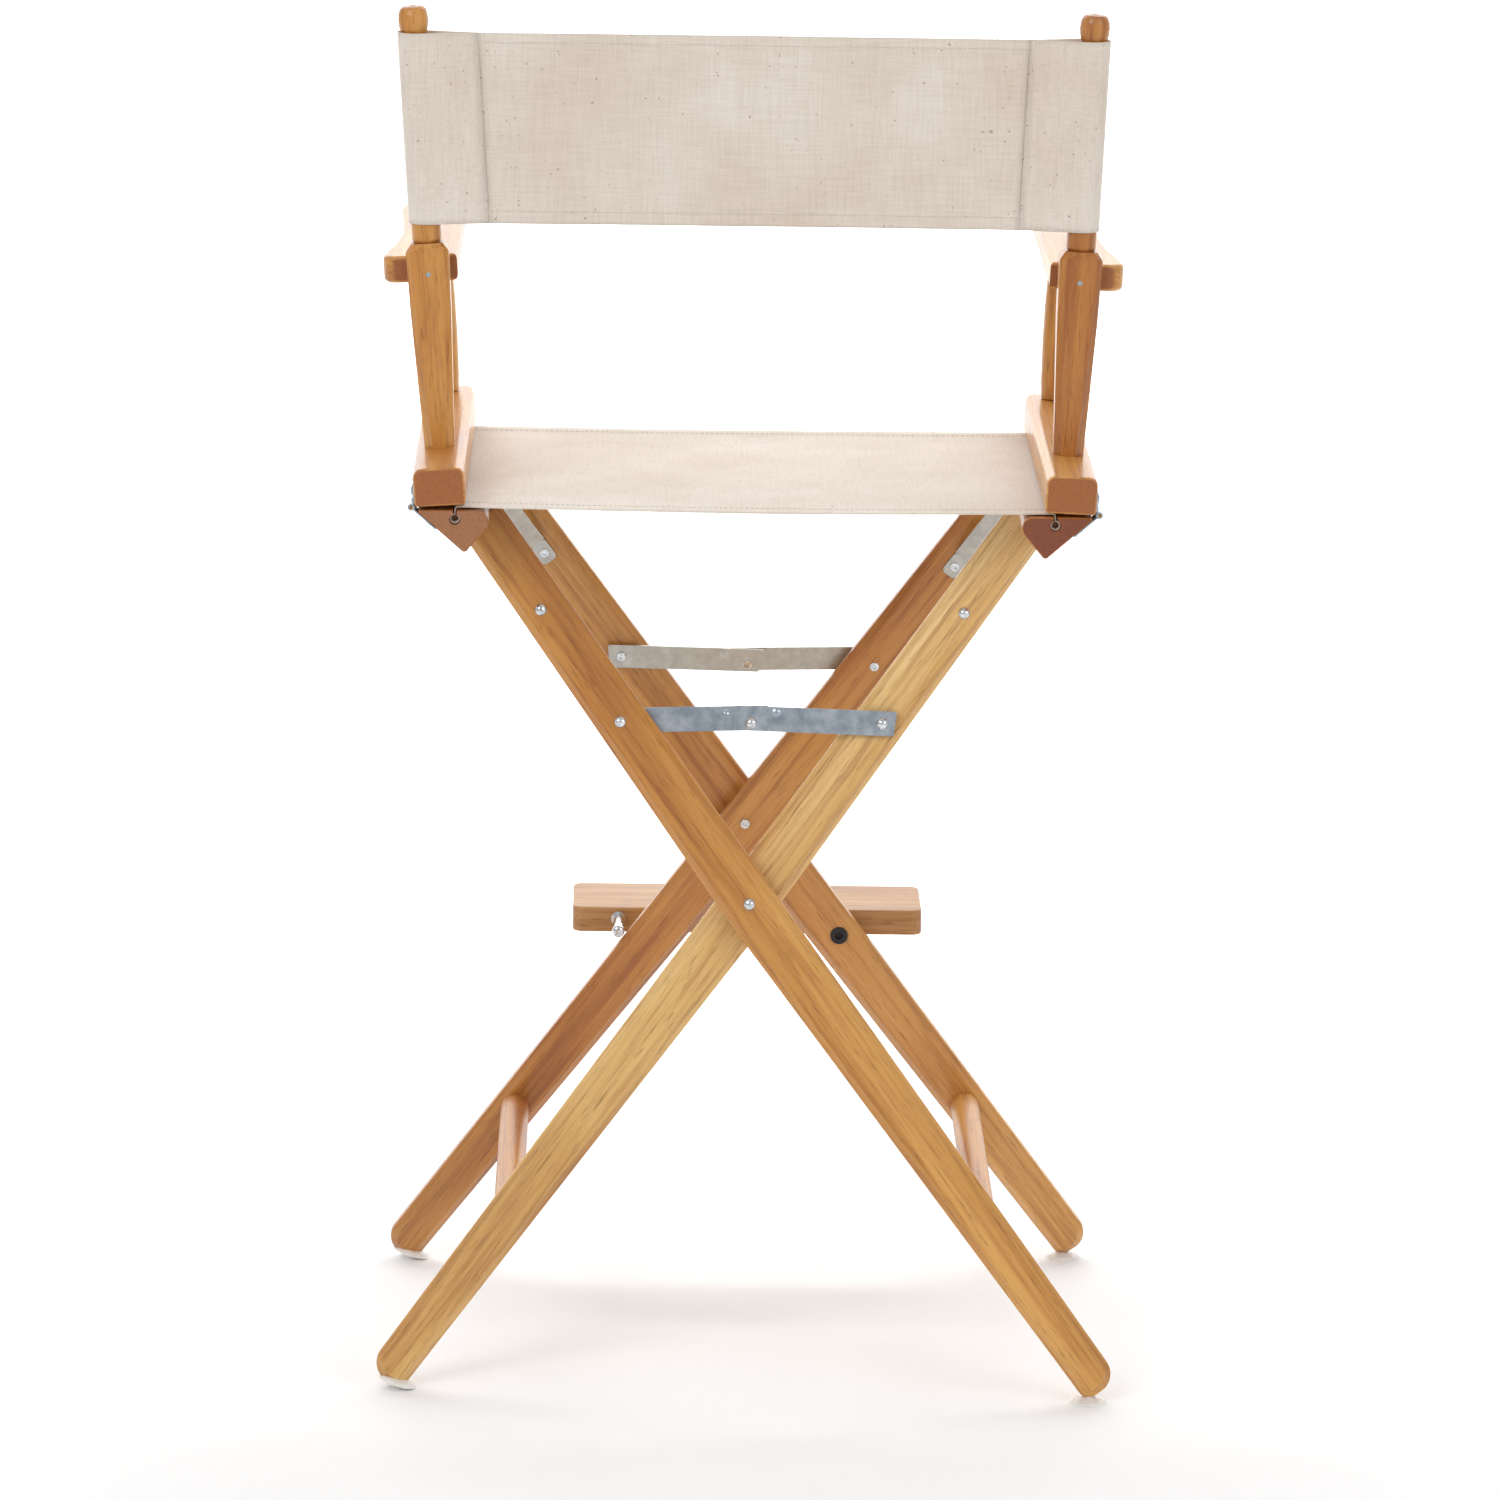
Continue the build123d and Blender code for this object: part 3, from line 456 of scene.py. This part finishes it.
seat_lines = [seat_line(seat_low[1] + 0.017), seat_line(seat_high[1] - 0.017)]
seat_seams = stitches("seat_stitches", seat_lines, thread)
for piece in (seat, seat_seams):
    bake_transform(piece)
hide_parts("seat_canvas")

# back: a sleeve round each post, drawn together along a seam, and a flat panel between the seams
back_low, back_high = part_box("back_canvas")
post_y = sum(c[1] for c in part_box("back_post_left")) / 2
SLEEVE_R = 0.0132
SEAM = 0.051


def post_centre(hand, z):
    """Middle of the upper post at height z, from the box round the post and its lean."""
    low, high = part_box(f"back_post_{hand}")
    sign = SIGN[hand]
    outer = high[0] if hand == "left" else low[0]
    return outer - sign * 0.0122 - sign * (high[2] - 0.011 - z) * math.tan(LEAN[hand])


def seam_x(hand, z):
    return post_centre(hand, z) - SIGN[hand] * SEAM


def sleeve(hand):
    """Cloth round a post, with a straight flap on each side that runs to the seam."""
    meet = math.pi - math.acos(SLEEVE_R / SEAM)
    px, py = SLEEVE_R * math.cos(meet), SLEEVE_R * math.sin(meet)
    rows = []
    for z in np.linspace(back_low[2], back_high[2], 28):
        z = float(z)
        cx = post_centre(hand, z)
        row = []
        for t in np.linspace(0, 1, 7)[:-1]:
            row.append((-SEAM * (1 - t) + px * t, 0.0005 + (py - 0.0005) * t))
        for angle in np.linspace(meet, -meet, 26):
            row.append((SLEEVE_R * math.cos(angle), SLEEVE_R * math.sin(angle)))
        for t in np.linspace(0, 1, 7)[1:]:
            row.append((px * (1 - t) - SEAM * t, -py * (1 - t) - 0.0005 * t))
        wave = 0.0005 * math.sin(46 * z)
        rows.append([(cx + SIGN[hand] * x, post_y + y * (1 + 12 * wave * (x < -0.02)), z) for x, y in row])
    return thicken(grid(f"back_sleeve_{hand}", rows, back_cloth))


def panel_y(t, z):
    side = math.sin(math.pi * t)
    return post_y - 0.0022 * side + 0.0005 * side * math.sin(17 * t + 20 * z)


def back_point(t, z):
    return seam_x("left", z) * (1 - t) + seam_x("right", z) * t, panel_y(t, z)


def hem(z):
    return turned_hem(min(z - back_low[2], back_high[2] - z), 0.011)


panel_zs = np.concatenate([
    np.linspace(back_low[2], back_low[2] + 0.015, 8),
    np.linspace(back_low[2] + 0.02, back_high[2] - 0.02, 22),
    np.linspace(back_high[2] - 0.015, back_high[2], 8),
])
rows = []
for z in panel_zs:
    z = float(z)
    row = []
    for t in np.linspace(0, 1, 60):
        x, y = back_point(float(t), z)
        row.append((x, y + hem(z), z))
    rows.append(row)
panel = thicken(grid("back_panel", rows, back_cloth))


def hem_line(z, face):
    def path(t):
        x, y = back_point(t, z)
        return x, y + face * 0.0006 + hem(z), z

    return path, seam_x("left", z) - seam_x("right", z), (0, face, 0)


hem_lines = [hem_line(back_low[2] + 0.010, 1), hem_line(back_high[2] - 0.008, 1)]
panel_seams = stitches("back_hem_stitches", hem_lines, thread)


def sleeve_line(hand, inset, face):
    def path(t):
        z = back_low[2] * (1 - t) + back_high[2] * t
        depth = 0.0008 + inset * 0.225
        return seam_x(hand, z) + SIGN[hand] * inset, post_y + face * depth, z

    return path, back_high[2] - back_low[2], (0, face, 0)


for hand, body in (("left", LEFT), ("right", RIGHT)):
    cover = sleeve(hand)
    sleeve_lines = [sleeve_line(hand, 0.002, 1), sleeve_line(hand, 0.0075, 1)]
    seams = stitches(f"sleeve_stitches_{hand}", sleeve_lines, thread)
    for piece in (cover, seams):
        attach(piece, body)

for piece in (panel, panel_seams):
    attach(piece, LEFT)
    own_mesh(piece)
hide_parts("back_canvas")

# ---------------------------------------------------------------- floor, backdrop and light
stage_material, nodes, links, shader = new_material("floor")
where = coordinates(nodes, links, (1, 1, 1))
cloud = noise(nodes, links, where.outputs["Vector"], 3, 2)
pale = ramp(nodes, [(0.2, "#F2F2F2"), (0.8, "#F6F6F6")])
links.new(cloud.outputs["Fac"], pale.inputs["Fac"])
links.new(pale.outputs["Color"], shader.inputs["Base Color"])
shader.inputs["Roughness"].default_value = 0.75
shader.inputs["Emission Color"].default_value = (1, 1, 1, 1)
depth = nodes.new("ShaderNodeSeparateXYZ")
links.new(where.outputs["Vector"], depth.inputs[0])
glow = nodes.new("ShaderNodeMapRange")
glow.inputs["From Min"].default_value = -2.2
glow.inputs["From Max"].default_value = -0.2
glow.inputs["To Min"].default_value = 0.30
glow.inputs["To Max"].default_value = 0.0
links.new(depth.outputs["Y"], glow.inputs["Value"])
links.new(glow.outputs["Result"], shader.inputs["Emission Strength"])
FLOOR_END, BEND, WALL_TOP = -2.5, 1.5, 9.0  # where the flat floor ends, radius up to the wall, its height
profile = [(14.0, 0.0), (FLOOR_END, 0.0)]
for degrees in range(10, 91, 10):
    t = math.radians(degrees)
    profile.append((FLOOR_END - BEND * math.sin(t), BEND - BEND * math.cos(t)))
profile.append((FLOOR_END - BEND, WALL_TOP))
sweep = grid("backdrop", [[(x, y, z) for x in (-9.0, 9.0)] for y, z in profile], stage_material)

world = bpy.data.worlds.new("studio")
world.use_nodes = True
world.node_tree.nodes["Background"].inputs["Color"].default_value = (1, 1, 1, 1)
world.node_tree.nodes["Background"].inputs["Strength"].default_value = 0.60
bpy.context.scene.world = world


def area(name, place, aim, size, power):
    data = bpy.data.lights.new(name, "AREA")
    data.shape = "RECTANGLE"
    data.size, data.size_y = size
    data.energy = power
    light = bpy.data.objects.new(name, data)
    light.location = place
    light.rotation_euler = (Vector(aim) - Vector(place)).to_track_quat("-Z", "Y").to_euler()
    bpy.context.scene.collection.objects.link(light)


area("key", (2.4, 3.6, 3.4), (0, 0, 0.6), (2.0, 2.0), 60)
area("fill", (-3.0, 3.0, 2.2), (0, 0, 0.6), (2.2, 2.2), 30)
area("top", (0, -0.4, 3.6), (0, 0, 0.4), (3.0, 3.0), 10)
area("wash", (0, -2.2, 3.4), (0, -3.9, 1.2), (5.0, 1.0), 130)

# ---------------------------------------------------------------- camera
YAW, PITCH, ROLL = 0.01474, 0.20792, 0.01485
CAMERA_AT = (0.09763, 6.86584, 1.93463)
FOCAL_MM, SENSOR_MM = 202.914, 36.0
ahead = Vector((-math.sin(YAW) * math.cos(PITCH), -math.cos(YAW) * math.cos(PITCH), -math.sin(PITCH)))
level = Vector((-math.cos(YAW), math.sin(YAW), 0))
upright = level.cross(ahead)
across = level * math.cos(ROLL) + upright * math.sin(ROLL)
vertical = upright * math.cos(ROLL) - level * math.sin(ROLL)
lens = bpy.data.cameras.new("camera")
lens.sensor_width = SENSOR_MM
lens.lens = FOCAL_MM
lens.clip_end = 100
camera = bpy.data.objects.new("camera", lens)
bpy.context.scene.collection.objects.link(camera)
turn = Matrix((across, vertical, -ahead)).transposed().to_4x4()
camera.matrix_world = Matrix.Translation(CAMERA_AT) @ turn
bpy.context.scene.camera = camera
